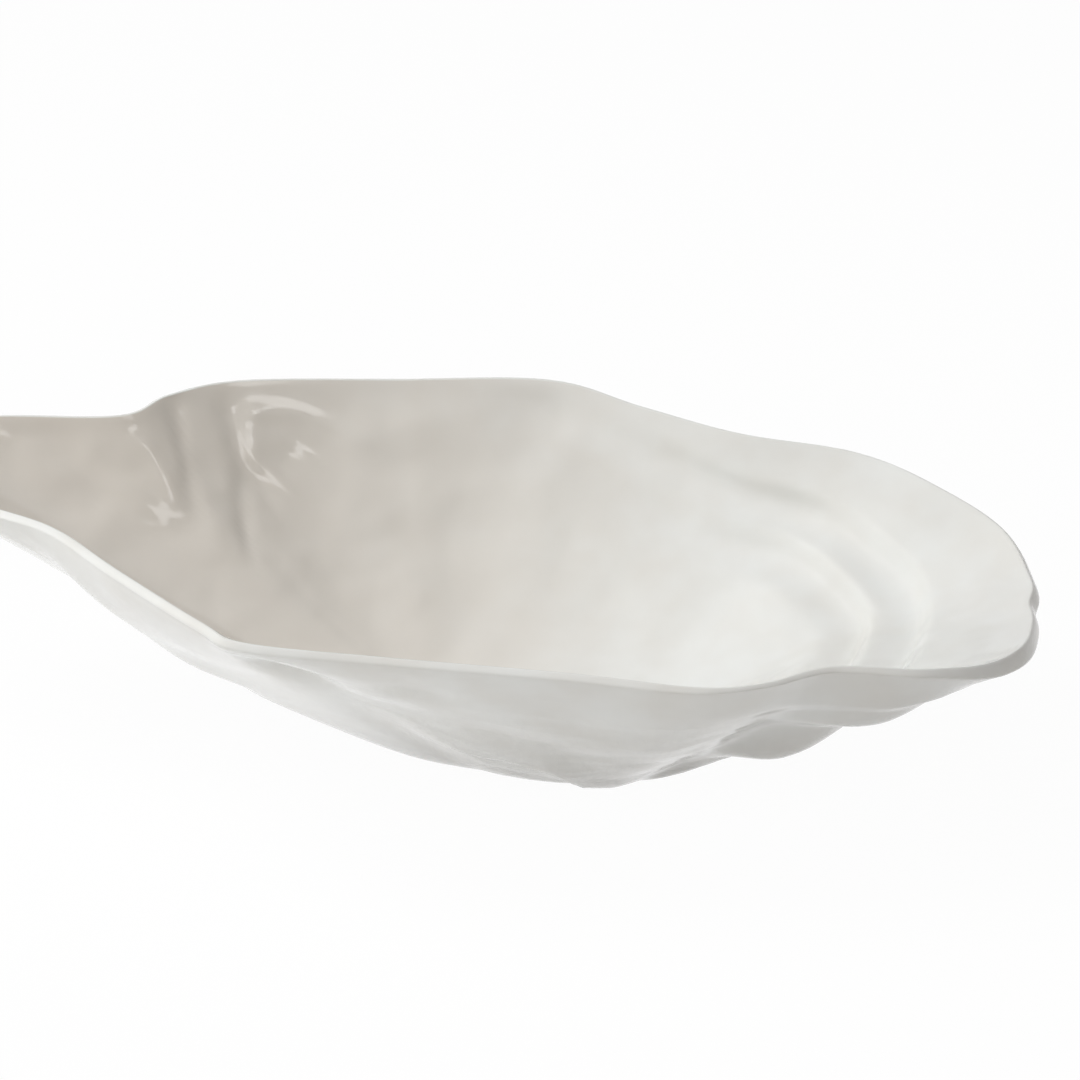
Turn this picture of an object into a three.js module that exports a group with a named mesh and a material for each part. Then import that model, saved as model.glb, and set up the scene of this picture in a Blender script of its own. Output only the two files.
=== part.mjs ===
import * as THREE from "three";

// Oyster-shell serving bowl. Millimetres, +Z up, lip towards +X, beak towards -X.

// Driving sizes
// The rim line runs along the middle of the wall's top edge.
const rimLength = 392;
const rimWidth = 220;
const rimHeight = 88.6;
const wallThickness = 4.2;
const floorThickness = 5;
const footShift = 40;
const footToLip = 39;
const footToBeak = 50;
const footWidth = 50;
const padDiameter = 10;
const padHeight = 1.5;

// The wall thins over rimTaper to its edge, most of all at the near shoulder of the lip
const rimWall = 3.2;
const rimTaper = 14;
const shoulderThinning = { place: 23.9, half: 2.6, by: 1.7 };

// Thicker rolled edge round the tip of the lip
const lipDirection = -5;
const lipRoll = 3;
const lipRollWidth = 15;
const lipRollFall = 5;
const lipRollFocus = 14;

// Growth creases on the inside and lamella edges on the outside.
// Each runs round the lip at one distance in from the rim and closes up to the rim along the sides.
// It climbs over rimSide and falls over footSide, and is narrower by sideWidth along the sides.
const creaseDepth = 2.6;
const creaseStart = 0.2;
const creaseFull = 0.7;
const creases = [
  { lipInset: 40, sideInset: 6, rimSide: 8, footSide: 14, sideWidth: 0.45, height: 1 },
  { lipInset: 61, sideInset: 15, rimSide: 8, footSide: 14, sideWidth: 0.45, height: 1 },
];
const lamellaThrow = 6.2;
const lamellae = [
  { lipInset: 25.5, sideInset: 5, rimSide: 11, footSide: 10, sideWidth: 1, height: 0.68 },
  { lipInset: 60, sideInset: 14, rimSide: 11, footSide: 16, sideWidth: 1, height: 1 },
];
const lamellaSideShare = 0.1;
const lamellaStart = 0.62;
const lamellaFull = 0.88;
const hugFocus = 4.5;
const rimFade = 1.5;
const footFade = 8;

// Hollows pressed into the wall (depth below 0 swells it), placed by station and distance from the rim
const insideHollows = [
  { place: 6.6, inset: 30, along: 0.35, down: 9, depth: 1.2 },
  { place: 7.1, inset: 34, along: 0.3, down: 9, depth: 1 },
  { place: 6.1, inset: 7, along: 0.4, down: 9, depth: 0.8 },
  { place: 7.05, inset: 17, along: 0.6, down: 5, depth: 0.7 },
  { place: 7.75, inset: 13, along: 0.27, down: 7, depth: 1.3 },
  { place: 18.95, inset: 15, along: 0.45, down: 8, depth: -2 },
];
const outsideHollows = [
  { place: 18.95, inset: 15, along: 0.45, down: 8, depth: 3.4 },
  { place: 20.1, inset: 9, along: 0.3, down: 6, depth: 1 },
  { place: 17.2, inset: 13, along: 0.6, down: 11, depth: -1.8 },
  { place: 16.1, inset: 50, along: 0.5, down: 6, depth: 1.1 },
  { place: 16, inset: 38, along: 0.5, down: 7, depth: -0.7 },
];

// Folds where the beak channel opens into the bowl, through points [distance from the rim, station]
const folds = [
  { points: [[0, 8.92], [8, 9.17], [20, 9.75], [39, 10.33]], width: 3.6, height: -0.9 },
  { points: [[2, 8.21], [17, 8.46], [30, 8.96], [48, 9.92]], width: 3.6, height: -0.9 },
  { points: [[4, 10], [9, 9.92], [18, 10], [26, 10.12]], width: 2.4, height: 0.7 },
];
const foldStationStep = 26;
const foldFade = { in: 6, past: 8, out: 20 };

// Lower edge of the outermost layer on the near wall, through points [station, distance from the rim]
const skirtPoints = [[19.2, 58], [20.4, 47], [20.9, 50], [21.5, 67], [22.5, 76], [24.2, 86], [25, 92]];
const skirtHeight = 1.8;
const skirtAbove = 22;
const skirtBelow = 4;
const skirtFade = { in: 0.8, past: 0.6, out: 1.2 };

// Mesh fineness
const spokeCount = 96;
const footRings = 2;
const wallRings = 26;
const padSides = 24;

// Pads stand at these shares of the room that the foot gives them
const padShareLong = 0.75;
const padShareAcross = 0.55;

// Stations round the rim, counter-clockwise from the lip.
// Plan and height are in any one unit and get stretched to the driving sizes.
// fullness bends the section between floor and rim, upright adds a steep band under the rim.
const stations = [
  { x: 193, y: 7, z: 58.5, fullness: 0.62, upright: 0.04 },
  { x: 183.5, y: 54, z: 62.3, fullness: 0.88, upright: 0.07 },
  { x: 157, y: 79, z: 68.6, fullness: 1, upright: 0.02 },
  { x: 129, y: 93, z: 73, fullness: 1.17, upright: 0 },
  { x: 89, y: 98, z: 75.4, fullness: 1.36, upright: 0 },
  { x: 54, y: 105, z: 80.6, fullness: 1.46, upright: 0 },
  { x: 20, y: 110, z: 87, fullness: 1.5, upright: 0 },
  { x: -33, y: 100.5, z: 87.8, fullness: 1.7, upright: 0.02 },
  { x: -85, y: 84, z: 90.6, fullness: 1.75, upright: 0.06 },
  { x: -108, y: 68.5, z: 89.5, fullness: 1.6, upright: 0.09 },
  { x: -121, y: 56, z: 86.2, fullness: 1.45, upright: 0.11 },
  { x: -160, y: 45, z: 88, fullness: 1.25, upright: 0.1 },
  { x: -188, y: 30, z: 89, fullness: 1.2, upright: 0.06 },
  { x: -196, y: 4, z: 90, fullness: 1.1, upright: -0.03 },
  { x: -172, y: -22, z: 89, fullness: 1.08, upright: -0.1 },
  { x: -133, y: -36, z: 88, fullness: 0.93, upright: -0.04 },
  { x: -112, y: -48, z: 88, fullness: 1, upright: 0.27 },
  { x: -87, y: -71, z: 87, fullness: 1.16, upright: 0.12 },
  { x: -52, y: -101, z: 85.5, fullness: 0.92, upright: 0.11 },
  { x: -36, y: -110, z: 84, fullness: 0.83, upright: 0.05 },
  { x: 5, y: -107, z: 81, fullness: 1, upright: 0.04 },
  { x: 57, y: -103, z: 78, fullness: 1.15, upright: 0.06 },
  { x: 95, y: -100, z: 75, fullness: 1.13, upright: 0.09 },
  { x: 115, y: -91, z: 74, fullness: 1.04, upright: 0.1 },
  { x: 134, y: -76, z: 73.5, fullness: 0.97, upright: 0.12 },
  { x: 163, y: -64, z: 69, fullness: 0.98, upright: 0.1 },
  { x: 184.5, y: -40, z: 62.5, fullness: 0.68, upright: 0.01 },
];

// Sizes that follow
const halfX = Math.max(...stations.map((station) => Math.abs(station.x)));
const halfY = Math.max(...stations.map((station) => Math.abs(station.y)));
const topZ = Math.max(...stations.map((station) => station.z));
const scaleX = rimLength / 2 / halfX;
const scaleY = rimWidth / 2 / halfY;
const scaleZ = rimHeight / topZ;
const sizeRatio = scaleX;
const footCentreX = footShift;
const footCentreY = 0;
const footHalfY = footWidth / 2;
const floorMiddle = padHeight + floorThickness / 2;
const softStart = 0.12;
const lipAngle = (lipDirection * Math.PI) / 180;

function clamp01(value) {
  return Math.min(1, Math.max(0, value));
}

function ease(value) {
  const part = clamp01(value);
  return part * part * (3 - 2 * part);
}

function curveThrough(values, place) {
  const count = values.length;
  const whole = Math.floor(place);
  const part = place - whole;
  const pick = (step) => values[(((whole + step) % count) + count) % count];
  const before = pick(-1);
  const start = pick(0);
  const end = pick(1);
  const after = pick(2);
  const square = part * part;
  const cube = square * part;
  const linear = (end - before) * part;
  const bend = (2 * before - 5 * start + 4 * end - after) * square;
  const twist = (3 * start - before - 3 * end + after) * cube;
  return 0.5 * (2 * start + linear + bend + twist);
}

const columns = {
  x: stations.map((station) => station.x * scaleX),
  y: stations.map((station) => station.y * scaleY),
  z: stations.map((station) => station.z * scaleZ),
  fullness: stations.map((station) => station.fullness),
  upright: stations.map((station) => station.upright),
};

function rimAt(place) {
  const rim = {};
  for (const key of Object.keys(columns)) {
    rim[key] = curveThrough(columns[key], place);
  }
  const armX = rim.x - footCentreX;
  const armY = rim.y - footCentreY;
  rim.place = place;
  rim.reach = Math.hypot(armX, armY);
  rim.angle = Math.atan2(armY, armX);
  rim.facing = Math.pow(Math.cos((rim.angle - lipAngle) / 2), 2);
  rim.hug = Math.pow(rim.facing, hugFocus);
  const footX = armX > 0 ? footToLip : footToBeak;
  const across = Math.hypot(Math.cos(rim.angle) / footX, Math.sin(rim.angle) / footHalfY);
  rim.footShare = 1 / across / rim.reach;
  return rim;
}

// Places along the rim at equal distances
function evenPlaces(count) {
  const fine = 2000;
  const lengths = [0];
  let last = rimAt(0);
  for (let step = 1; step <= fine; step += 1) {
    const next = rimAt((step / fine) * stations.length);
    const stride = Math.hypot(next.x - last.x, next.y - last.y, next.z - last.z);
    lengths.push(lengths[step - 1] + stride);
    last = next;
  }
  const places = [];
  let step = 0;
  for (let index = 0; index < count; index += 1) {
    const wanted = (lengths[fine] * index) / count;
    while (lengths[step + 1] < wanted) {
      step += 1;
    }
    const part = (wanted - lengths[step]) / (lengths[step + 1] - lengths[step]);
    places.push(((step + part) / fine) * stations.length);
  }
  return places;
}

function wallRise(rim, share) {
  const raw = Math.max(0, (share - rim.footShare) / (1 - rim.footShare));
  const soft = Math.sqrt(raw * raw + softStart * softStart) - softStart;
  return soft / (Math.sqrt(1 + softStart * softStart) - softStart);
}

// Middle of the wall at a share of the way from the foot centre to the rim
function middleAt(place, share) {
  const rim = rimAt(place);
  const rise = wallRise(rim, share);
  const bowlPart = (1 - rim.upright) * Math.pow(rise, rim.fullness);
  const rimPart = rim.upright * Math.pow(rise, 6);
  return new THREE.Vector3(
    footCentreX + share * (rim.x - footCentreX),
    footCentreY + share * (rim.y - footCentreY),
    floorMiddle + (rim.z - floorMiddle) * (bowlPart + rimPart),
  );
}

function directionsAt(place, share) {
  const outward = middleAt(place, share + 0.004).sub(middleAt(place, share - 0.004));
  const along = middleAt(place + 0.02, share).sub(middleAt(place - 0.02, share));
  const normal = outward.clone().cross(along).normalize();
  return { outward: outward.normalize(), normal };
}

// Value at a place on a line through [place, value] points
function valueAlong(points, place) {
  const last = points.length - 1;
  if (place <= points[0][0]) {
    return points[0][1];
  }
  for (let index = 0; index < last; index += 1) {
    const [startPlace, startValue] = points[index];
    const [endPlace, endValue] = points[index + 1];
    if (place <= endPlace) {
      return startValue + ((endValue - startValue) * (place - startPlace)) / (endPlace - startPlace);
    }
  }
  return points[last][1];
}

// Distance from the rim, in the unit that the reliefs are written in
function insetAt(rim, share) {
  return ((1 - share) * rim.reach) / sizeRatio;
}

function lineRelief(rim, share, lines) {
  const inset = insetAt(rim, share);
  let relief = 0;
  for (const line of lines) {
    const width = line.sideWidth + (1 - line.sideWidth) * rim.hug;
    const distance = (inset - line.sideInset - (line.lipInset - line.sideInset) * rim.hug) / width;
    const profile = distance >= 0 ? ease(1 - distance / line.footSide) : ease(1 + distance / line.rimSide);
    relief += line.height * profile;
  }
  return relief * clamp01(inset / rimFade) * clamp01(footFade * wallRise(rim, share));
}

// The creases fade out along the sides
function creaseRelief(rim, share) {
  const strength = ease((rim.facing - creaseStart) / (creaseFull - creaseStart));
  return creaseDepth * lineRelief(rim, share, creases) * strength;
}

// The lamellae stand out round the lip and almost vanish along the sides
function lamellaRelief(rim, share) {
  const nearLip = ease((rim.hug - lamellaStart) / (lamellaFull - lamellaStart));
  const strength = lamellaSideShare + (1 - lamellaSideShare) * nearLip;
  return lamellaThrow * lineRelief(rim, share, lamellae) * strength;
}

function foldRelief(rim, share) {
  const inset = insetAt(rim, share);
  let relief = 0;
  for (const fold of folds) {
    const start = fold.points[0][0];
    const end = fold.points[fold.points.length - 1][0];
    const gap = (rim.place - valueAlong(fold.points, inset)) * foldStationStep * share;
    const fade = ease((inset - start) / foldFade.in) * ease((end + foldFade.past - inset) / foldFade.out);
    relief += fold.height * Math.exp(-Math.pow(gap / fold.width, 2)) * fade;
  }
  return relief;
}

function skirtRelief(rim, share) {
  const gap = insetAt(rim, share) - valueAlong(skirtPoints, rim.place);
  const start = skirtPoints[0][0];
  const end = skirtPoints[skirtPoints.length - 1][0];
  const before = ease((rim.place - start) / skirtFade.in);
  const after = ease((end + skirtFade.past - rim.place) / skirtFade.out);
  const profile = gap < 0 ? ease(1 + gap / skirtAbove) : ease(1 - gap / skirtBelow);
  return skirtHeight * before * after * profile;
}

function hollowRelief(rim, share, hollows) {
  const inset = insetAt(rim, share);
  let relief = 0;
  for (const hollow of hollows) {
    const along = (rim.place - hollow.place) / hollow.along;
    const down = (inset - hollow.inset) / hollow.down;
    relief += hollow.depth * Math.exp(-along * along - down * down);
  }
  return relief * ease(inset / 4);
}

function lipRollAt(rim) {
  return lipRoll * Math.pow(rim.facing, lipRollFocus);
}

function rimWallAt(rim) {
  const aside = Math.abs(rim.place - shoulderThinning.place) / shoulderThinning.half;
  return rimWall - shoulderThinning.by * ease(1.5 - 1.5 * aside);
}

function wallAt(rim, share) {
  const floorPart = (floorThickness - wallThickness) * (1 - ease(wallRise(rim, share) * 4));
  const taper = (wallThickness - rimWallAt(rim)) * ease(1 - insetAt(rim, share) / rimTaper);
  return wallThickness + floorPart - taper;
}

function innerPoint(rim, share) {
  const { normal } = directionsAt(rim.place, share);
  const hollow = hollowRelief(rim, share, insideHollows);
  const offset = wallAt(rim, share) / 2 - creaseRelief(rim, share) - hollow + foldRelief(rim, share);
  return middleAt(rim.place, share).addScaledVector(normal, offset);
}

function outerPoint(rim, share) {
  const { normal } = directionsAt(rim.place, share);
  const hollow = hollowRelief(rim, share, outsideHollows);
  const roll = lipRollAt(rim) * ease((lipRollWidth - insetAt(rim, share)) / lipRollFall);
  const layers = lamellaRelief(rim, share) + skirtRelief(rim, share);
  const offset = wallAt(rim, share) / 2 + layers + roll - hollow;
  const point = middleAt(rim.place, share).addScaledVector(normal, -offset);
  point.z = Math.max(point.z, padHeight);
  return point;
}

function rimPoint(rim, turn) {
  const { outward, normal } = directionsAt(rim.place, 1);
  const roll = lipRollAt(rim);
  const edge = rimWallAt(rim);
  return middleAt(rim.place, 1)
    .addScaledVector(normal, -roll / 2)
    .addScaledVector(normal, ((edge + roll) / 2) * Math.cos(turn))
    .addScaledVector(outward, (edge / 2) * Math.sin(turn));
}

// One section from near the inside centre over the rim to near the underside centre
function sectionAt(place) {
  const rim = rimAt(place);
  const shares = [];
  for (let ring = 1; ring <= footRings; ring += 1) {
    shares.push((rim.footShare * ring) / footRings);
  }
  for (let ring = 1; ring <= wallRings; ring += 1) {
    shares.push(rim.footShare + ((1 - rim.footShare) * ring) / wallRings);
  }
  const inside = shares.map((share) => innerPoint(rim, share));
  const over = [0.25, 0.5, 0.75].map((part) => rimPoint(rim, part * Math.PI));
  const outside = shares.map((share) => outerPoint(rim, share)).reverse();
  return [...inside, ...over, ...outside];
}

function shellGeometry() {
  const sections = evenPlaces(spokeCount).map((place) => sectionAt(place));
  const depth = sections[0].length;
  const positions = [];
  for (const section of sections) {
    for (const point of section) {
      positions.push(point.x, point.y, point.z);
    }
  }
  const insideCentre = positions.length / 3;
  positions.push(footCentreX, footCentreY, padHeight + floorThickness);
  const underCentre = insideCentre + 1;
  positions.push(footCentreX, footCentreY, padHeight);

  const indices = [];
  for (let spoke = 0; spoke < spokeCount; spoke += 1) {
    const here = spoke * depth;
    const next = ((spoke + 1) % spokeCount) * depth;
    indices.push(insideCentre, here, next);
    for (let ring = 0; ring < depth - 1; ring += 1) {
      indices.push(here + ring, here + ring + 1, next + ring + 1);
      indices.push(here + ring, next + ring + 1, next + ring);
    }
    indices.push(underCentre, next + depth - 1, here + depth - 1);
  }
  const geometry = new THREE.BufferGeometry();
  geometry.setAttribute("position", new THREE.Float32BufferAttribute(positions, 3));
  geometry.setIndex(indices);
  return geometry;
}

const glaze = new THREE.MeshStandardMaterial({ color: "#efebe3", roughness: 0.12 });
const silicone = new THREE.MeshStandardMaterial({ color: "#d6d7d3", roughness: 0.5 });

const bowl = new THREE.Group();
bowl.name = "oyster_shell_serving_bowl";

const shell = new THREE.Mesh(shellGeometry(), glaze);
shell.name = "bowl_shell";

const padGeometry = new THREE.CylinderGeometry(padDiameter / 2, padDiameter / 2, padHeight, padSides);
padGeometry.rotateX(Math.PI / 2);
const padToLip = (footToLip - padDiameter / 2) * padShareLong;
const padToBeak = (footToBeak - padDiameter / 2) * padShareLong;
const padAside = (footHalfY - padDiameter / 2) * padShareAcross;
const padPlaces = [
  { name: "foot_pad_lip_far", x: padToLip, y: padAside },
  { name: "foot_pad_lip_near", x: padToLip, y: -padAside },
  { name: "foot_pad_beak_far", x: -padToBeak, y: padAside },
  { name: "foot_pad_beak_near", x: -padToBeak, y: -padAside },
];

// The box of the whole bowl sits centred over the origin
shell.geometry.computeBoundingBox();
const shellBox = shell.geometry.boundingBox;
const centreX = (shellBox.min.x + shellBox.max.x) / 2;
const centreY = (shellBox.min.y + shellBox.max.y) / 2;
shell.geometry.translate(-centreX, -centreY, 0);
shell.geometry.computeVertexNormals();
bowl.add(shell);

for (const place of padPlaces) {
  const pad = new THREE.Mesh(padGeometry.clone(), silicone);
  pad.name = place.name;
  const padX = footCentreX + place.x - centreX;
  const padY = footCentreY + place.y - centreY;
  pad.geometry.translate(padX, padY, padHeight / 2);
  bowl.add(pad);
}

export default bowl;
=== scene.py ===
import math

import bpy
import numpy as np
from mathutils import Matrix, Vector


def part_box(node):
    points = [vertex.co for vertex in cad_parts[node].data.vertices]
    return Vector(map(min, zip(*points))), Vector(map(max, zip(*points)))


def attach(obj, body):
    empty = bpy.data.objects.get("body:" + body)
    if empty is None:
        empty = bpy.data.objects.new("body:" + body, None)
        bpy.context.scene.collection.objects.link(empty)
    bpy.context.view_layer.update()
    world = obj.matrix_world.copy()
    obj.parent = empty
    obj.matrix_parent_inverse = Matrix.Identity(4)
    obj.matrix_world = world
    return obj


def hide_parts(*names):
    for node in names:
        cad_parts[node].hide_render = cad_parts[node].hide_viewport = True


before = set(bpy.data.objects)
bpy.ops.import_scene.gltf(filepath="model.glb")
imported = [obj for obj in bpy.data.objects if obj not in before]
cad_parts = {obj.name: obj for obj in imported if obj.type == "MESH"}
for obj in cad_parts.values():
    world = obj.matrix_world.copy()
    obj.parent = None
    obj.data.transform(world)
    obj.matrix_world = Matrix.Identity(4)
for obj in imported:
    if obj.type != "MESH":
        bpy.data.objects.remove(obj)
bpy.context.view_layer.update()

mm = 0.001


def hexColour(text):  # sRGB hex to linear
    values = [int(text[i:i + 2], 16) / 255 for i in (1, 3, 5)]
    linear = [v / 12.92 if v <= 0.04045 else ((v + 0.055) / 1.055) ** 2.4 for v in values]
    return (*linear, 1.0)


def addNode(tree, kind, settings=None, inputs=None):  # one node with its settings, values and links
    node = tree.nodes.new(kind)
    for name, value in (settings or {}).items():
        setattr(node, name, value)
    for key, value in (inputs or {}).items():
        if isinstance(value, bpy.types.NodeSocket):
            tree.links.new(value, node.inputs[key])
        else:
            node.inputs[key].default_value = value
    return node


def mathsIn(tree):  # adds maths nodes to one tree
    def maths(operation, first, second=0.0):
        return addNode(tree, "ShaderNodeMath", {"operation": operation}, {0: first, 1: second}).outputs[0]
    return maths


def newMaterial(name):
    material = bpy.data.materials.new(name)
    material.use_nodes = True
    material.node_tree.nodes.clear()
    return material, material.node_tree


def newTree(name, numbers):  # geometry and named numbers in, geometry out
    tree = bpy.data.node_groups.new(name, "GeometryNodeTree")
    tree.interface.new_socket("Geometry", in_out="INPUT", socket_type="NodeSocketGeometry")
    for number in numbers:
        tree.interface.new_socket(number, in_out="INPUT", socket_type="NodeSocketFloat")
    tree.interface.new_socket("Geometry", in_out="OUTPUT", socket_type="NodeSocketGeometry")
    return tree, addNode(tree, "NodeGroupInput").outputs


def endTree(tree, geometry, material):
    real = addNode(tree, "GeometryNodeRealizeInstances", {}, {"Geometry": geometry})
    dressed = addNode(tree, "GeometryNodeSetMaterial", {}, {
        "Geometry": real.outputs["Geometry"], "Material": material})
    addNode(tree, "NodeGroupOutput", {}, {"Geometry": dressed.outputs["Geometry"]})


def ease(value):
    part = np.clip(value, 0, 1)
    return part * part * (3 - 2 * part)


# the bowl's wall, in millimetres

shellSizes = {
    "footCentre": (40.0, 0.0),
    "footToLip": 39.0,
    "footToBeak": 50.0,
    "footHalfWidth": 25.0,
    "rimHeight": 88.6,
    "wall": 4.2,
    "rimWall": 3.2,  # the wall thins towards the rim
    "rimTaper": 14.0,
    "thinRim": (23.9, 2.6, 1.7),  # station, half width, how much thinner
    "floor": 5.0,
    "padHeight": 1.5,
    "softStart": 0.12,  # how gently the wall leaves the foot
    "uprightPower": 6,  # how late an upright section climbs
    "lipDirection": -5.0,  # degrees from +X
    "lipRoll": 3.0,
    "lipRollWidth": 15.0,
    "lipRollFall": 5.0,
    "lipRollNarrow": 14,  # a higher power keeps the roll closer to the lip's tip
    "lineHug": 4.5,  # the same for the bend of the growth lines
    "planShift": (1.406, 0.038),  # sets the rim's box on the middle of the frame
    "spokes": 440,
    "footRings": 6,
    "wallRings": 92,
    "rimSteps": 9,
    "rimBulge": 0.66,  # how far the rim's edge stands out, 1 for a half circle
    "rimRound": 0.7,  # power of the edge's section, 1 for round and less for squarer
    "nickDepth": 9.0,
    "softStations": (13.0, 21.5),  # the rim's corner dies out below it here
    "softSpread": 0.72,  # stations
    "softFade": 1.5,  # stations
    "softFrom": 2.0,
    "softDepth": 21.5,
    "evenStations": (13.0, 20.0),  # the outside is smooth here
    "evenFades": (1.0, 1.5),
    "paintedShadePower": 2.5,  # a higher power keeps the painted shade closer to the beak
}

# rim stations counter-clockwise from the lip: x, y, height, fullness, upright
rimStations = np.array([
    (193, 7, 58.5, 0.62, 0.04),
    (183.5, 54, 62.3, 0.88, 0.07),
    (157, 79, 68.6, 1.0, 0.02),
    (129, 93, 73, 1.17, 0),
    (89, 98, 75.4, 1.36, 0),
    (54, 105, 80.6, 1.46, 0),
    (20, 110, 87, 1.5, 0),
    (-33, 100.5, 87.8, 1.7, 0.02),
    (-85, 84, 90.6, 1.75, 0.06),
    (-108, 68.5, 89.5, 1.6, 0.09),
    (-121, 56, 86.2, 1.45, 0.11),
    (-160, 45, 88, 1.25, 0.1),
    (-188, 30, 89, 1.2, 0.06),
    (-196, 4, 90, 1.1, -0.03),
    (-172, -22, 89, 1.08, -0.1),
    (-133, -36, 88, 1.03, 0.03),
    (-112, -48, 88, 1.01, 0.34),
    (-87, -71, 87, 1.08, 0.14),
    (-52, -101, 85.5, 0.95, 0.08),
    (-36, -110, 84, 0.91, -0.03),
    (5, -107, 81, 1, 0.04),
    (57, -103, 78, 1.15, 0.06),
    (95, -100, 75, 1.13, 0.09),
    (115, -91, 74, 1.04, 0.1),
    (134, -76, 73.5, 0.97, 0.12),
    (163, -64, 69, 0.98, 0.1),
    (184.5, -40, 62.5, 0.68, 0.01),
])
rimStations[:, 2] *= shellSizes["rimHeight"] / rimStations[:, 2].max()

# small chips and swells of the rim's edge: station, half width, outward
rimNicks = [(0.03, 0.14, -1.4), (0.3, 0.14, 0.6), (26.35, 0.35, 1.6)]


def curveThrough(values, place):  # closed smooth curve through the stations
    count = len(values)
    whole = np.floor(place).astype(int)
    part = (place - whole)[..., None]
    before, start, end, after = (values[(whole + step) % count] for step in (-1, 0, 1, 2))
    bend = (2 * before - 5 * start + 4 * end - after) * part ** 2
    twist = (3 * start - before - 3 * end + after) * part ** 3
    return 0.5 * (2 * start + (end - before) * part + bend + twist)


def evenPlaces(count):  # equal steps along the rim, with the distance run
    fine = np.linspace(0, len(rimStations), 6001)
    points = curveThrough(rimStations, fine)[:, :3]
    run = np.concatenate(([0], np.cumsum(np.linalg.norm(np.diff(points, axis=0), axis=1))))
    wanted = np.linspace(0, run[-1], count, endpoint=False)
    return np.interp(wanted, run, fine), wanted


def rimAt(place):
    rim = curveThrough(rimStations, place)
    arm = rim[:, :2] - np.array(shellSizes["footCentre"])
    reach = np.linalg.norm(arm, axis=1)
    angle = np.arctan2(arm[:, 1], arm[:, 0])
    footX = np.where(np.cos(angle) > 0, shellSizes["footToLip"], shellSizes["footToBeak"])
    footY = shellSizes["footHalfWidth"]
    footShare = 1 / np.hypot(np.cos(angle) / footX, np.sin(angle) / footY) / reach
    return rim, arm, reach, angle, footShare


def nickAt(place):
    shift = np.zeros_like(place)
    count = len(rimStations)
    for station, width, out in rimNicks:
        gap = (place - station + count / 2) % count - count / 2  # the shorter way round
        shift += out * np.exp(-(gap / width) ** 2)
    return shift


def wallRise(footShare, share):
    soft = shellSizes["softStart"]
    raw = np.clip((share - footShare[:, None]) / (1 - footShare[:, None]), 0, None)
    return (np.sqrt(raw ** 2 + soft ** 2) - soft) / (math.sqrt(1 + soft ** 2) - soft)


def softRim(place):  # the rim's curve with its corners evened out
    steps = np.linspace(-1.5, 1.5, 7)
    weights = np.exp(-(steps / 0.9) ** 2)
    weights /= weights.sum()
    curves = [curveThrough(rimStations, place + step * shellSizes["softSpread"]) for step in steps]
    return sum(weight * curve for weight, curve in zip(weights, curves))


def middleAt(place, share):  # middle of the wall, share 0 at the foot centre and 1 at the rim
    rim, arm, reach, angle, footShare = rimAt(place)
    rise = wallRise(footShare, share)
    inset = (1 - share) * reach[:, None]
    soft = softRim(place)
    first, last = shellSizes["softStations"]
    fade = shellSizes["softFade"]
    window = ease((place - first) / fade) * ease((last - place) / fade)
    blend = window[:, None] * ease((inset - shellSizes["softFrom"]) / shellSizes["softDepth"])
    fullness, upright = (rim[:, k:k + 1] + blend * (soft - rim)[:, k:k + 1] for k in (3, 4))
    armHere = arm[:, None, :] + blend[..., None] * (soft - rim)[:, None, :2]
    lift = (1 - upright) * rise ** fullness + upright * rise ** shellSizes["uprightPower"]
    floorMiddle = shellSizes["padHeight"] + shellSizes["floor"] / 2
    edge = ease(1 - inset / shellSizes["nickDepth"])
    out = share + edge * (nickAt(place) / reach)[:, None]
    plan = np.array(shellSizes["footCentre"]) + out[..., None] * armHere
    return np.dstack([plan, floorMiddle + (rim[:, 2:3] - floorMiddle) * lift])


def directionsAt(place, share):
    shareStep, placeStep = 0.004, 0.02
    outward = middleAt(place, share + shareStep) - middleAt(place, share - shareStep)
    along = middleAt(place + placeStep, share) - middleAt(place - placeStep, share)
    normal = np.cross(outward, along)
    normal /= np.linalg.norm(normal, axis=2, keepdims=True)
    outward /= np.linalg.norm(outward, axis=2, keepdims=True)
    return outward, normal


# pressed hollows: station, distance from the rim, half sizes along (stations) and down, depth
insideHollows = [
    (6.6, 30, 0.35, 9, 1.2),
    (7.1, 34, 0.3, 9, 1.0),
    (6.1, 7, 0.4, 9, 0.8),
    (7.05, 17, 0.6, 5, 0.7),
    (7.0, 9, 0.5, 5, -0.5),
    (7.75, 13, 0.27, 7, 1.3),
    (8.4, 24, 0.16, 6, 0.9),
    (18.92, 20, 0.36, 9, -2.4),
    (10.75, 13, 0.2, 8, 0.7),
    (10.5, 22, 0.15, 8, -0.6),
    (1.29, 23.2, 0.03, 1.3, -0.3),
    (0.62, 14.9, 0.03, 1.3, -0.3),
]
outsideHollows = [
    (18.92, 16, 0.36, 9, 4.8),
    (20.1, 9, 0.3, 6, 1.0),
    (17.2, 13, 0.6, 11, -1.8),
    (16.1, 50, 0.5, 6, 1.1),
    (16.0, 38, 0.5, 7, -0.7),
]
hollowFade = 4.0  # none at the rim itself


def hollowRelief(place, inset, hollows):
    relief = np.zeros_like(inset)
    for station, depthDown, along, down, depth in hollows:
        gap = (place[:, None] - station) / along
        relief += depth * np.exp(-gap ** 2 - ((inset - depthDown) / down) ** 2)
    return relief * ease(inset / hollowFade)


# folds where the beak opens into the basin:
# points (distance from the rim, station), half width, height
foldLines = [
    ([(0, 8.92), (8, 9.17), (20, 9.75), (39, 10.33)], 3.6, -0.9),
    ([(2, 8.21), (17, 8.46), (30, 8.96), (48, 9.92)], 3.6, -0.9),
    ([(4, 10.0), (9, 9.92), (18, 10.0), (26, 10.12)], 2.4, 0.7),
]


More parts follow.
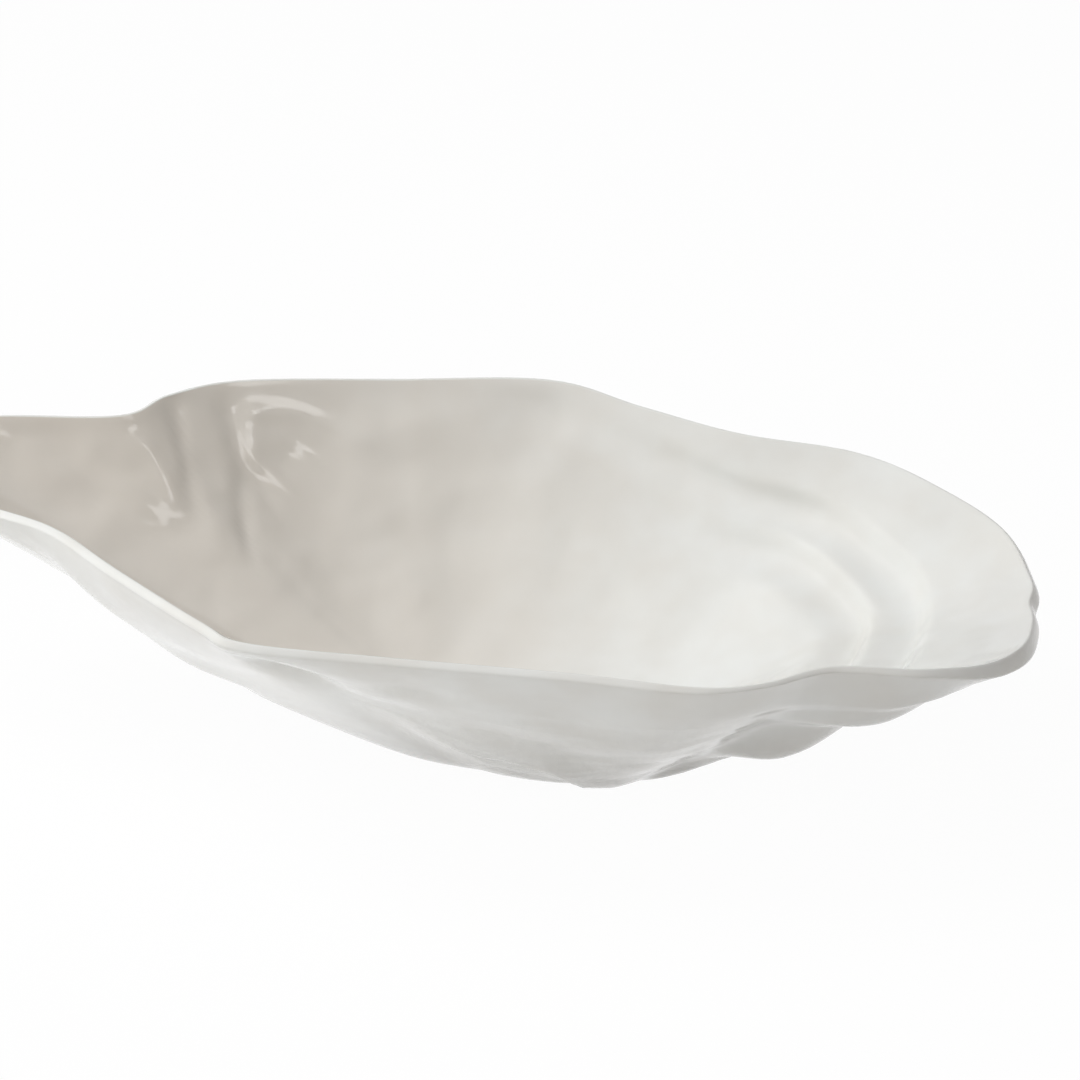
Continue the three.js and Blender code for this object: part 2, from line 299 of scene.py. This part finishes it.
def foldRelief(place, inset, share):
    relief = np.zeros_like(inset)
    step = 26.0  # mm between stations at the beak's root
    early, fadeIn, late, fadeOut = 2, 6, 8, 20
    for points, width, height in foldLines:
        down, station = np.array(points, dtype=float).T
        gap = (place[:, None] - np.interp(inset, down, station)) * step * share
        fade = ease((inset - down[0] + early) / fadeIn) * ease((down[-1] + late - inset) / fadeOut)
        relief += height * np.exp(-(gap / width) ** 2) * fade
    return relief


# beads of thick glaze on the far wall:
# points (station, distance from the rim), half width, height
glazeBeads = [
    ([(7.3, 13), (7.44, 9.5), (7.6, 6.8), (7.8, 5.8), (8.06, 6.6)], 1.7, 0.32),
    ([(7.72, 17.5), (7.8, 14), (7.9, 11.5)], 2.0, 0.3),
    ([(8.02, 25), (8.16, 19), (8.34, 15)], 2.4, 0.35),
]


def beadRelief(place, inset):
    relief = np.zeros_like(inset)
    past, fade = 0.06, 0.1  # stations
    for points, width, height in glazeBeads:
        station, down = np.array(points, dtype=float).T
        gap = inset - np.interp(place, station, down)[:, None]
        window = ease((place - station[0] + past) / fade) * ease((station[-1] + past - place) / fade)
        relief += height * np.exp(-(gap / width) ** 2) * window[:, None]
    return relief


# lower edge of the near wall's last layer: points (station, distance from the rim)
skirtEdge = {
    "points": [(19.2, 58), (20.4, 47), (20.9, 50), (21.5, 67), (22.5, 76), (24.2, 86), (25, 92)],
    "height": 1.8,
    "above": 22.0,
    "below": 3.0,
    "fadeIn": 0.8,  # stations
    "past": 0.6,
    "fadeOut": 1.2,
}


def skirtRelief(place, inset):
    station, down = np.array(skirtEdge["points"], dtype=float).T
    gap = inset - np.interp(place, station, down)[:, None]
    window = ease((place - station[0]) / skirtEdge["fadeIn"])
    window = window * ease((station[-1] + skirtEdge["past"] - place) / skirtEdge["fadeOut"])
    shape = np.where(gap < 0, ease(1 + gap / skirtEdge["above"]), ease(1 - gap / skirtEdge["below"]))
    return skirtEdge["height"] * shape * window[:, None]


def shellMesh():
    sizes = shellSizes
    place, run = evenPlaces(sizes["spokes"])
    rim, arm, reach, angle, footShare = rimAt(place)
    footSteps = np.arange(1, sizes["footRings"] + 1) / sizes["footRings"]
    wallSteps = np.arange(1, sizes["wallRings"] + 1) / sizes["wallRings"]
    share = np.hstack([
        footShare[:, None] * footSteps,
        footShare[:, None] + (1 - footShare[:, None]) * wallSteps,
    ])
    inset = (1 - share) * reach[:, None]
    middle = middleAt(place, share)
    outward, normal = directionsAt(place, share)
    rise = wallRise(footShare, share)
    wall = sizes["wall"] + (sizes["floor"] - sizes["wall"]) * (1 - ease(rise * 4))
    thinPlace, thinHalf, thinBy = sizes["thinRim"]
    rimWall = sizes["rimWall"] - thinBy * ease(1.5 - 1.5 * np.abs(place - thinPlace) / thinHalf)
    wall -= (sizes["wall"] - rimWall)[:, None] * ease(1 - inset / sizes["rimTaper"])
    facing = np.cos((angle - math.radians(sizes["lipDirection"])) / 2) ** 2
    roll = sizes["lipRoll"] * facing ** sizes["lipRollNarrow"]

    lift = foldRelief(place, inset, share) + beadRelief(place, inset)
    lift = lift - hollowRelief(place, inset, insideHollows)
    inside = middle + normal * (wall / 2 + lift)[..., None]
    thick = wall / 2 - hollowRelief(place, inset, outsideHollows) + skirtRelief(place, inset)
    thick += roll[:, None] * ease((sizes["lipRollWidth"] - inset) / sizes["lipRollFall"])
    outside = middle - normal * thick[..., None]
    turns = np.pi * np.arange(1, sizes["rimSteps"] + 1) / (sizes["rimSteps"] + 1)
    centre = middle[:, -1] - normal[:, -1] * (roll / 2)[:, None]
    radius = (rimWall + roll) / 2
    rounded = sizes["rimRound"]
    across = np.sign(np.cos(turns)) * np.abs(np.cos(turns)) ** rounded
    beyond = sizes["rimBulge"] * np.sin(turns) ** rounded
    over = np.stack([
        centre + normal[:, -1] * (radius * a)[:, None] + outward[:, -1] * (rimWall / 2 * b)[:, None]
        for a, b in zip(across, beyond)
    ], axis=1)

    def around(inner, edge, outer):  # inside up to the rim, over it and down the outside
        return np.concatenate([inner, edge, outer[:, ::-1]], axis=1)

    points = around(inside, over, outside)
    spokes, rings = points.shape[:2]
    rimOnes = np.ones((spokes, len(turns)))
    side = around(np.ones_like(inset), 0 * rimOnes, -np.ones_like(inset))
    insets = around(inset, 0 * rimOnes, inset)
    fade = np.clip(rise * 8, 0, 1)  # no relief on the flat of the foot
    fades = around(fade, rimOnes, fade)
    normals = around(normal, np.repeat(normal[:, -1:], len(turns), axis=1), normal)

    under = sizes["padHeight"]
    poles = [(*sizes["footCentre"], under + sizes["floor"]), (*sizes["footCentre"], under)]
    verts = np.vstack([points.reshape(-1, 3), poles])
    verts[:, 2] = np.maximum(verts[:, 2], under)
    verts[:, :2] += sizes["planShift"]

    index = np.arange(spokes * rings).reshape(spokes, rings)
    here, there = index, np.roll(index, -1, axis=0)
    corners = [here[:, :-1], here[:, 1:], there[:, 1:], there[:, :-1]]
    quads = np.stack(corners, axis=-1).reshape(-1, 4)
    insidePole, underPole = spokes * rings, spokes * rings + 1
    fans = [(insidePole, int(a), int(b)) for a, b in zip(here[:, 0], there[:, 0])]
    fans += [(underPole, int(b), int(a)) for a, b in zip(here[:, -1], there[:, -1])]
    mesh = bpy.data.meshes.new("bowlShell")
    mesh.from_pydata(verts * mm, [], quads.tolist() + fans)

    def onRings(values):
        return np.repeat(values[:, None], rings, axis=1)

    first, last = sizes["evenStations"]
    fadeIn, fadeOut = sizes["evenFades"]
    grazing = ease((place - first) / fadeIn) * ease((last - place) / fadeOut)
    fields = {
        # painted shade inside the beak: a darker, warmer cream where the wall lies in shade
        "paintedShade": np.clip(side, 0, 1) * (1 - onRings(facing)) ** sizes["paintedShadePower"],
        "even": 1 - np.clip(-side, 0, 1) * onRings(grazing),
        "inset": insets,
        "hug": onRings(facing ** sizes["lineHug"]),
        "facing": onRings(facing),
        "side": side,
        "fade": fades,
        "run": onRings(run),
    }
    for name, field in fields.items():
        values = np.concatenate([field.ravel(), [0, 0]]).astype(np.float32)
        mesh.attributes.new(name, "FLOAT", "POINT").data.foreach_set("value", values)
    vectors = np.vstack([normals.reshape(-1, 3), [(0, 0, 1), (0, 0, 1)]]).astype(np.float32)
    mesh.attributes.new("wallNormal", "FLOAT_VECTOR", "POINT").data.foreach_set("vector", vectors.ravel())
    return mesh


# growth lines: distance in from the rim at the lip and along the sides, height,
# rim side and foot side widths, share of these widths along the sides

creaseLines = [(40, 6, 1.0, 8, 14, 0.75), (61, 15, 1.0, 8, 14, 0.75)]
lamellaLines = [(25.5, 5, 4.0, 18, 9, 1), (60, 14, 5.6, 26, 14, 1)]
growthSizes = {
    "Crease Depth": 3.6,
    "Lamella Throw": 1.0,
    "Side Share": 0.1,  # what is left of the lamellae along the sides
    "Swell": 1.2,
    "Swell Size": 45.0,
    "Knead": 0.8,
    "Knead Size": 18.0,
    "Streak": 0.28,
    "Seed": 7.0,
}
growthReach = {
    "creaseFacing": (0.2, 0.75),  # 0 at the beak, 1 at the lip
    "lamellaHug": (0.62, 0.88),
    "lineFade": 1.5,
    "wanderFade": 6.0,
    "beakKnead": 1.2,
    "lipKnead": 0.6,  # smoother towards the lip
    "streakAlong": 0.016,  # per mm
    "streakDown": 0.16,
}


# climbs over the rim side width up to the line, falls over the foot side width past it
def growthLineGroup():
    group = bpy.data.node_groups.new("growthLine", "GeometryNodeTree")
    names = ("Inset", "Hug", "Lip Inset", "Side Inset", "Rim Side", "Foot Side", "Side Width", "Height")
    for name in names:
        group.interface.new_socket(name, in_out="INPUT", socket_type="NodeSocketFloat")
    group.interface.new_socket("Relief", in_out="OUTPUT", socket_type="NodeSocketFloat")
    given = addNode(group, "NodeGroupInput").outputs
    maths = mathsIn(group)
    place = addNode(group, "ShaderNodeMapRange", {"clamp": True}, {
        "Value": given["Hug"], "To Min": given["Side Inset"], "To Max": given["Lip Inset"]})
    width = addNode(group, "ShaderNodeMapRange", {"clamp": True}, {
        "Value": given["Hug"], "To Min": given["Side Width"], "To Max": 1.0})
    past = maths("SUBTRACT", given["Inset"], place.outputs["Result"])
    distance = maths("DIVIDE", past, width.outputs["Result"])
    fall = addNode(group, "ShaderNodeMapRange", {"interpolation_type": "SMOOTHSTEP"}, {
        "Value": distance, "From Min": 0.0, "From Max": given["Foot Side"],
        "To Min": 1.0, "To Max": 0.0})
    climb = addNode(group, "ShaderNodeMapRange", {"interpolation_type": "SMOOTHSTEP"}, {
        "Value": distance, "From Min": maths("MULTIPLY", given["Rim Side"], -1.0), "From Max": 0.0,
        "To Min": 0.0, "To Max": 1.0})
    both = maths("MULTIPLY", fall.outputs["Result"], climb.outputs["Result"])
    addNode(group, "NodeGroupOutput", {}, {"Relief": maths("MULTIPLY", both, given["Height"])})
    return group


def growthTree(material):
    lineGroup = growthLineGroup()
    tree, given = newTree("growthRelief", growthSizes)
    maths = mathsIn(tree)
    reach = growthReach

    def field(name, kind="FLOAT"):
        node = addNode(tree, "GeometryNodeInputNamedAttribute", {"data_type": kind}, {"Name": name})
        return node.outputs["Attribute"]

    def climb(value, start, end, low=0.0, high=1.0, kind="SMOOTHSTEP"):
        node = addNode(tree, "ShaderNodeMapRange", {"interpolation_type": kind}, {
            "Value": value, "From Min": start, "From Max": end, "To Min": low, "To Max": high})
        return node.outputs["Result"]

    inset, hug, facing, side = field("inset"), field("hug"), field("facing"), field("side")

    def lineSum(lines):
        total = 0.0
        for lip, along, height, rimSide, footSide, sideWidth in lines:
            line = addNode(tree, "GeometryNodeGroup", {"node_tree": lineGroup}, {
                "Inset": inset, "Hug": hug, "Lip Inset": float(lip), "Side Inset": float(along),
                "Rim Side": float(rimSide), "Foot Side": float(footSide),
                "Side Width": float(sideWidth), "Height": float(height)})
            total = maths("ADD", total, line.outputs["Relief"])
        return total

    fade = maths("MULTIPLY", field("fade"), climb(inset, 0.0, reach["lineFade"], kind="LINEAR"))
    roundLip = climb(facing, *reach["creaseFacing"])
    crease = maths("MULTIPLY", maths("MULTIPLY", lineSum(creaseLines), given["Crease Depth"]), roundLip)
    nearLip = climb(hug, *reach["lamellaHug"], given["Side Share"])
    lamella = maths("MULTIPLY", maths("MULTIPLY", lineSum(lamellaLines), given["Lamella Throw"]), nearLip)
    isInside = maths("GREATER_THAN", side, 0.5)
    isOutside = maths("LESS_THAN", side, -0.5)
    lines = maths("ADD", maths("MULTIPLY", crease, isInside), maths("MULTIPLY", lamella, isOutside))
    lines = maths("MULTIPLY", maths("MULTIPLY", lines, fade), -1.0)

    position = addNode(tree, "GeometryNodeInputPosition").outputs[0]
    inMm = addNode(tree, "ShaderNodeVectorMath", {"operation": "SCALE"}, {
        0: position, "Scale": 1 / mm}).outputs[0]

    def wave(size, height, vector, detail):
        noise = addNode(tree, "ShaderNodeTexNoise", {"noise_dimensions": "4D"}, {
            "Vector": vector, "W": given["Seed"], "Scale": maths("DIVIDE", 1.0, size),
            "Detail": detail}).outputs[0]
        return maths("MULTIPLY", maths("SUBTRACT", noise, 0.5), maths("MULTIPLY", height, 2.0))

    swell = wave(given["Swell Size"], given["Swell"], inMm, 1.0)
    knead = wave(given["Knead Size"], given["Knead"], inMm, 1.0)
    calm = climb(facing, 0.0, 1.0, reach["beakKnead"], reach["lipKnead"], "LINEAR")
    knead = maths("MULTIPLY", knead, calm)
    streakPlace = addNode(tree, "ShaderNodeCombineXYZ", {}, {
        "X": maths("MULTIPLY", field("run"), reach["streakAlong"]),
        "Y": maths("MULTIPLY", inset, reach["streakDown"]), "Z": side}).outputs[0]
    streak = maths("MULTIPLY", wave(1.0, given["Streak"], streakPlace, 2.0), isOutside)
    soft = climb(inset, 0.0, reach["wanderFade"], kind="LINEAR")
    wander = maths("ADD", maths("ADD", swell, knead), streak)
    wander = maths("MULTIPLY", maths("MULTIPLY", wander, field("even")), maths("MULTIPLY", soft, field("fade")))

    relief = maths("MULTIPLY", maths("ADD", lines, wander), mm)
    # along the wall's normal: creases sink inside, lamellae stand out below
    offset = addNode(tree, "ShaderNodeVectorMath", {"operation": "SCALE"}, {
        0: field("wallNormal", "FLOAT_VECTOR"), "Scale": relief}).outputs[0]
    moved = addNode(tree, "GeometryNodeSetPosition", {}, {"Geometry": given["Geometry"], "Offset": offset})
    endTree(tree, moved.outputs["Geometry"], material)
    return tree


def grow(name, mesh, tree, values):  # run a tree on a mesh and keep the result as a plain mesh
    source = bpy.data.objects.new(name, mesh)
    bpy.context.scene.collection.objects.link(source)
    modifier = source.modifiers.new("grow", "NODES")
    modifier.node_group = tree
    sockets = {item.name: item.identifier for item in tree.interface.items_tree if item.in_out == "INPUT"}
    for key, value in values.items():
        modifier[sockets[key]] = value
    ready = source.evaluated_get(bpy.context.evaluated_depsgraph_get())
    made = bpy.data.meshes.new_from_object(ready)
    source.modifiers.remove(modifier)
    source.data = made
    made.shade_smooth()
    return source


# glazed stoneware: fired white clay under a clear glossy glaze,
# milky white with cream patches; painted shade turns the inside of the beak a darker warm cream

glazeLook = {
    "white": "#ebedeb",
    "cream": "#e2e1dc",
    "paintedShadeCream": "#ded8cf",  # painted shade colour, inside the beak
    "cloudSize": 55.0,  # mm
    "mottleSize": 20.0,  # mm
    "patchRange": (0.75, 1.25),  # of both noises added up: all white, most cream
    "patchShare": 0.7,
    "paintedShadeShare": 0.9,  # how strongly the painted shade tints the beak
    "peelSize": 9.0,  # mm, gentle unevenness of the glaze
    "peelHeight": 0.02,  # mm
    "roughness": 0.1,
    "ior": 1.5,
}


def glazeMaterial():
    look = glazeLook
    material, tree = newMaterial("glazedStoneware")
    maths = mathsIn(tree)
    spot = addNode(tree, "ShaderNodeTexCoord").outputs["Object"]
    cloud = addNode(tree, "ShaderNodeTexNoise", {}, {
        "Vector": spot, "Scale": 1 / (look["cloudSize"] * mm), "Detail": 3.0})
    mottle = addNode(tree, "ShaderNodeTexNoise", {}, {
        "Vector": spot, "Scale": 1 / (look["mottleSize"] * mm), "Detail": 2.0})
    first, last = look["patchRange"]
    patches = addNode(tree, "ShaderNodeMapRange", {}, {
        "Value": maths("ADD", cloud.outputs["Fac"], mottle.outputs["Fac"]),
        "From Min": first, "From Max": last, "To Max": look["patchShare"]})
    # painted shade: the inside of the beak is mixed towards a darker warm cream
    paintedShade = addNode(tree, "ShaderNodeAttribute", {"attribute_name": "paintedShade"})
    thick = maths("MULTIPLY", paintedShade.outputs["Fac"], look["paintedShadeShare"])
    thin = addNode(tree, "ShaderNodeMix", {"data_type": "RGBA"}, {
        "Factor": patches.outputs["Result"],
        6: hexColour(look["white"]), 7: hexColour(look["cream"])})
    tint = addNode(tree, "ShaderNodeMix", {"data_type": "RGBA"}, {
        "Factor": thick, 6: thin.outputs[2], 7: hexColour(look["paintedShadeCream"])})
    peel = addNode(tree, "ShaderNodeTexNoise", {}, {
        "Vector": spot, "Scale": 1 / (look["peelSize"] * mm), "Detail": 1.0})
    bump = addNode(tree, "ShaderNodeBump", {}, {
        "Strength": 1.0, "Distance": look["peelHeight"] * mm, "Height": peel.outputs["Fac"]})
    shader = addNode(tree, "ShaderNodeBsdfPrincipled", {}, {
        "Base Color": tint.outputs[2], "Roughness": look["roughness"], "IOR": look["ior"],
        "Normal": bump.outputs["Normal"]})
    addNode(tree, "ShaderNodeOutputMaterial", {}, {"Surface": shader.outputs["BSDF"]})
    return material


glaze = glazeMaterial()
shell = grow("bowl_shell_glazed", shellMesh(), growthTree(glaze), growthSizes)
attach(shell, "root")
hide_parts("bowl_shell")
print("shell:", len(shell.data.polygons), "faces")


# moulded silicone: milky, a little translucent, soft sheen

padSizes = {"Diameter": 10.0, "Height": 1.5, "Edge Power": 7.0}  # a higher power gives a tighter edge
padNodes = ("foot_pad_lip_far", "foot_pad_lip_near", "foot_pad_beak_far", "foot_pad_beak_near")
siliconeLook = {
    "milk": "#d8d9d5",
    "shade": "#cdcec9",
    "grainSize": 0.6,  # mm
    "grainHeight": 0.02,  # mm
    "roughness": 0.45,
    "ior": 1.41,
}


def siliconeMaterial():
    look = siliconeLook
    material, tree = newMaterial("milkySilicone")
    spot = addNode(tree, "ShaderNodeTexCoord").outputs["Object"]
    grain = addNode(tree, "ShaderNodeTexNoise", {}, {
        "Vector": spot, "Scale": 1 / (look["grainSize"] * mm), "Detail": 2.0})
    tint = addNode(tree, "ShaderNodeMix", {"data_type": "RGBA"}, {
        "Factor": grain.outputs["Fac"], 6: hexColour(look["milk"]), 7: hexColour(look["shade"])})
    bump = addNode(tree, "ShaderNodeBump", {}, {
        "Distance": look["grainHeight"] * mm, "Height": grain.outputs["Fac"]})
    shader = addNode(tree, "ShaderNodeBsdfPrincipled", {}, {
        "Base Color": tint.outputs[2], "Roughness": look["roughness"], "IOR": look["ior"],
        "Normal": bump.outputs["Normal"]})
    addNode(tree, "ShaderNodeOutputMaterial", {}, {"Surface": shader.outputs["BSDF"]})
    return material


def padTree(material):  # one soft-edged disc on each given point
    tree, given = newTree("footPads", padSizes)
    maths = mathsIn(tree)
    radius = maths("MULTIPLY", given["Diameter"], 0.5 * mm)
    height = maths("MULTIPLY", given["Height"], mm)
    disc = addNode(tree, "GeometryNodeMeshCylinder", {}, {
        "Vertices": 48, "Side Segments": 8, "Fill Segments": 10, "Radius": radius, "Depth": height})
    spot = addNode(tree, "GeometryNodeInputPosition").outputs[0]
    power = given["Edge Power"]

    def vectorMaths(operation, inputs):
        return addNode(tree, "ShaderNodeVectorMath", {"operation": operation}, inputs).outputs

    flat = vectorMaths("MULTIPLY", {0: spot, 1: (1, 1, 0)})[0]
    away = vectorMaths("LENGTH", {0: flat})["Value"]
    up = maths("ABSOLUTE", addNode(tree, "ShaderNodeSeparateXYZ", {}, {0: spot}).outputs["Z"])
    acrossShare = maths("POWER", maths("DIVIDE", away, radius), power)
    upShare = maths("POWER", maths("DIVIDE", up, maths("MULTIPLY", height, 0.5)), power)
    size = maths("POWER", maths("ADD", acrossShare, upShare), maths("DIVIDE", -1.0, power))
    drawn = vectorMaths("SCALE", {0: spot, "Scale": size})[0]
    soft = addNode(tree, "GeometryNodeSetPosition", {}, {
        "Geometry": disc.outputs["Mesh"], "Position": drawn})
    copies = addNode(tree, "GeometryNodeInstanceOnPoints", {}, {
        "Points": given["Geometry"], "Instance": soft.outputs["Geometry"]})
    endTree(tree, copies.outputs["Instances"], material)
    return tree


def padMiddles():
    mesh = bpy.data.meshes.new("padMiddles")
    corners = [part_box(name) for name in padNodes]
    mesh.from_pydata([tuple((low + high) / 2 for low, high in zip(*box)) for box in corners], [], [])
    return mesh


pads = grow("foot_pads_moulded", padMiddles(), padTree(siliconeMaterial()), padSizes)
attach(pads, "root")
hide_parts(*padNodes)
print("pads:", len(pads.data.polygons), "faces")


# camera and light

# degrees, azimuth 0 = straight from the near side and + to the right, millimetres
cameraPlace = {
    "azimuth": 9.0,
    "elevation": 24.0,
    "distance": 1060.0,
    "target": (25.6, 63.0, 45.0),
    "fov": 20.0,
}
# the same angles, edges in metres, watts; a mirrored lamp shows in the glaze
lampSettings = {
    "keyLeft": {"azimuth": -90, "elevation": 50, "power": 21.4},
    "fillLeft": {"azimuth": -60, "elevation": 20, "power": 5.0},
    "fillFront": {"azimuth": -30, "elevation": 20, "power": 3.2, "colour": "#fff0de"},
    "highFront": {"azimuth": 0, "elevation": 40, "power": 3.2, "colour": "#f6f9ff"},
    "topBox": {"azimuth": 0, "elevation": 90, "power": 4.3},
    "fillRight": {"azimuth": 60, "elevation": 30, "power": 3.6, "colour": "#fff2e4"},
    "smallBox": {"azimuth": 33, "elevation": 44, "power": 0.7, "size": (0.3, 0.22), "mirrored": True},
}
lampDefaults = {"size": (0.9, 0.9), "colour": "#ffffff", "mirrored": False}
roomLook = {
    "lampTarget": (0.02, 0, 0.04),  # metres
    "lampDistance": 1.8,
    "level": 0.03,  # light from the white room on everything
    "floorColour": "#f4f4f4",
    "floorGlow": 0.97,  # the rest keeps the bowl's shadow
    "floorHalf": 3.0,
}


def placed(name, data, place, target, distance):  # an object looking at the target from a direction
    turn, lift = math.radians(place["azimuth"]), math.radians(place["elevation"])
    away = Vector((math.sin(turn) * math.cos(lift), -math.cos(turn) * math.cos(lift), math.sin(lift)))
    thing = bpy.data.objects.new(name, data)
    thing.location = Vector(target) + away * distance
    thing.rotation_euler = (-away).to_track_quat("-Z", "Y").to_euler()
    bpy.context.scene.collection.objects.link(thing)
    return thing


def addCamera():
    data = bpy.data.cameras.new("camera")
    data.sensor_width = 36.0
    data.lens = data.sensor_width / 2 / math.tan(math.radians(cameraPlace["fov"]) / 2)
    target = Vector(cameraPlace["target"]) * mm
    bpy.context.scene.camera = placed("camera", data, cameraPlace, target, cameraPlace["distance"] * mm)


def addLamp(name, place):
    data = bpy.data.lights.new(name, "AREA")
    data.shape = "RECTANGLE"
    data.size, data.size_y = place["size"]
    data.energy = place["power"]
    data.color = hexColour(place["colour"])[:3]
    lamp = placed(name, data, place, roomLook["lampTarget"], roomLook["lampDistance"])
    lamp.visible_glossy = place["mirrored"]


def seenRays(tree):  # 1 for camera, mirror and see-through rays, 0 for light
    maths = mathsIn(tree)
    path = addNode(tree, "ShaderNodeLightPath").outputs
    seen = maths("MAXIMUM", path["Is Camera Ray"], path["Is Glossy Ray"])
    return maths("MAXIMUM", seen, path["Is Transmission Ray"])


def whiteRoom():  # white to the camera and in reflections, softer as light
    world = bpy.data.worlds.new("whiteRoom")
    bpy.context.scene.world = world
    world.use_nodes = True
    tree = world.node_tree
    tree.nodes.clear()
    strength = addNode(tree, "ShaderNodeMapRange", {}, {
        "Value": seenRays(tree), "To Min": roomLook["level"], "To Max": 1.0})
    sky = addNode(tree, "ShaderNodeBackground", {}, {
        "Color": (1, 1, 1, 1), "Strength": strength.outputs["Result"]})
    addNode(tree, "ShaderNodeOutputWorld", {}, {"Surface": sky.outputs["Background"]})


def paleFloor():
    mesh = bpy.data.meshes.new("floor")
    half = roomLook["floorHalf"]
    corners = [(-half, -half, 0), (half, -half, 0), (half, half, 0), (-half, half, 0)]
    mesh.from_pydata(corners, [], [(0, 1, 2, 3)])
    floor = bpy.data.objects.new("floor", mesh)
    bpy.context.scene.collection.objects.link(floor)
    material, tree = newMaterial("paleFloor")
    paint = addNode(tree, "ShaderNodeBsdfDiffuse", {}, {"Color": hexColour(roomLook["floorColour"])})
    white = addNode(tree, "ShaderNodeEmission", {}, {"Color": (1, 1, 1, 1), "Strength": 1.0})
    share = mathsIn(tree)("MULTIPLY", seenRays(tree), roomLook["floorGlow"])
    mix = addNode(tree, "ShaderNodeMixShader", {}, {
        0: share, 1: paint.outputs[0], 2: white.outputs[0]})
    addNode(tree, "ShaderNodeOutputMaterial", {}, {"Surface": mix.outputs[0]})
    mesh.materials.append(material)


addCamera()
whiteRoom()
paleFloor()
for lampName, lampPlace in lampSettings.items():
    addLamp(lampName, {**lampDefaults, **lampPlace})
bpy.context.scene.view_settings.view_transform = "Standard"
print("light:", len(lampSettings), "lamps")
